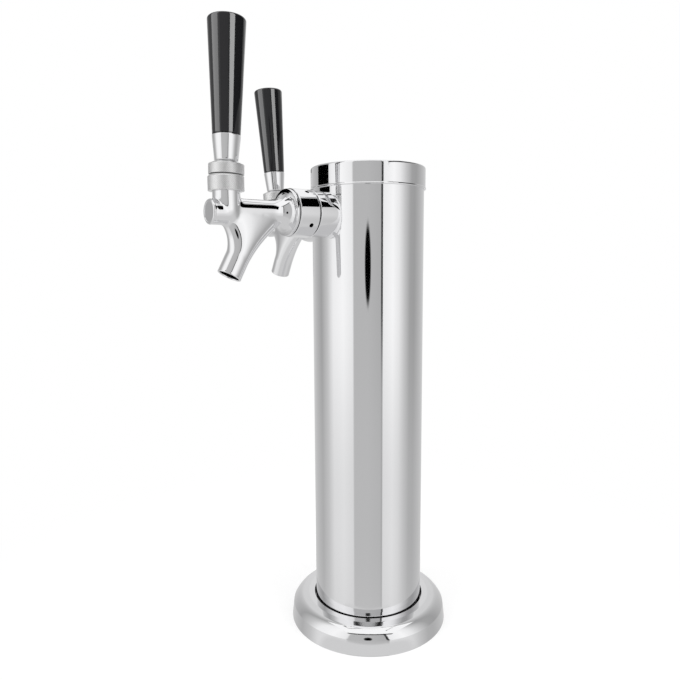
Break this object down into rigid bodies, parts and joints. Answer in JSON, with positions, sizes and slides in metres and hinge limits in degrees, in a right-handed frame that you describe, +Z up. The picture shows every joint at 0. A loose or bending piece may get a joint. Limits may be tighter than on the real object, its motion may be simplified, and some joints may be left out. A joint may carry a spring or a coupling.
{
  "type": "beer tower",
  "caption": "Beer tower with a round column, a domed base ring, a push-on cap and lever faucets that pour through leaning spouts.",
  "frame": {"origin": "centre of the bolt circle on the bar top, on the column's axis", "axes": "+Z up along the column, -Y towards the front between the two taps, +X to the right tap's side"},
  "size_m": [0.1724, 0.1507, 0.3942],
  "materials": {
    "polished_steel": "mirror polished stainless steel",
    "chrome": "mirror chrome plate",
    "knurled_chrome": "fine knurled satin chrome",
    "plain_steel": "plain machined",
    "brass": "machined",
    "gasket_rubber": "matte",
    "nylon": "matte",
    "foam": "rigid foam",
    "black_grip": "gloss black"
  },
  "bodies": {
    "tower": {"column_tube": "polished_steel", "base_flange": "plain_steel", "base_gasket": "gasket_rubber", "cap_gasket": "gasket_rubber", "foam_sleeve": "foam", "right_adapter": "chrome", "right_inner_saddle": "plain_steel", "right_shank": "plain_steel", "right_lock_nut": "brass", "right_coupling_nut": "chrome", "right_coupling_washer": "gasket_rubber", "right_tailpiece": "plain_steel", "right_tailpiece_nut": "brass", "right_faucet_body": "chrome", "right_ball_washer": "nylon", "right_friction_washer": "nylon", "right_bonnet": "knurled_chrome", "left_adapter": "chrome", "left_inner_saddle": "plain_steel", "left_shank": "plain_steel", "left_lock_nut": "brass", "left_coupling_nut": "chrome", "left_coupling_washer": "gasket_rubber", "left_tailpiece": "plain_steel", "left_tailpiece_nut": "brass", "left_faucet_body": "chrome", "left_ball_washer": "nylon", "left_friction_washer": "nylon", "left_bonnet": "knurled_chrome"},
    "cap": {"top_cap": "polished_steel"},
    "base_ring": {"base_cover": "polished_steel"},
    "right_handle": {"right_lever": "plain_steel", "right_lever_collar": "knurled_chrome", "right_ferrule": "chrome", "right_grip": "black_grip"},
    "right_valve": {"right_faucet_shaft": "plain_steel", "right_seat_washer": "gasket_rubber", "right_shaft_ring": "gasket_rubber"},
    "left_handle": {"left_lever": "plain_steel", "left_lever_collar": "knurled_chrome", "left_ferrule": "chrome", "left_grip": "black_grip"},
    "left_valve": {"left_faucet_shaft": "plain_steel", "left_seat_washer": "gasket_rubber", "left_shaft_ring": "gasket_rubber"}
  },
  "joints": [
    {"name": "right_tap", "type": "hinge", "parent": "tower", "child": "right_handle", "pos_m": [0.07332, -0.07794, 0.2968], "axis": [0.7284, 0.6852, 0], "range_deg": [0, 27]},
    {"name": "right_valve_slide", "type": "slide", "parent": "tower", "child": "right_valve", "axis": [-0.6852, 0.7284, 0], "range_m": [0, 0.00437]},
    {"name": "left_tap", "type": "hinge", "parent": "tower", "child": "left_handle", "pos_m": [-0.07307, -0.07816, 0.29679], "axis": [0.7279, -0.6848, -0.0349], "range_deg": [-5, 22]},
    {"name": "left_valve_slide", "type": "slide", "parent": "tower", "child": "left_valve", "axis": [0.6852, 0.7284, 0], "range_m": [-0.00082, 0.00356]},
    {"name": "cap_lift", "type": "slide", "parent": "tower", "child": "cap", "axis": [0, 0, 1], "range_m": [0, 0.05]},
    {"name": "base_ring_lift", "type": "slide", "parent": "tower", "child": "base_ring", "axis": [0, 0, 1], "range_m": [0, 0.12]}
  ],
  "couplings": [
    {"joint": "right_valve_slide", "follows": "right_tap", "m_per_rad": 0.0092},
    {"joint": "left_valve_slide", "follows": "left_tap", "m_per_rad": 0.0092}
  ]
}
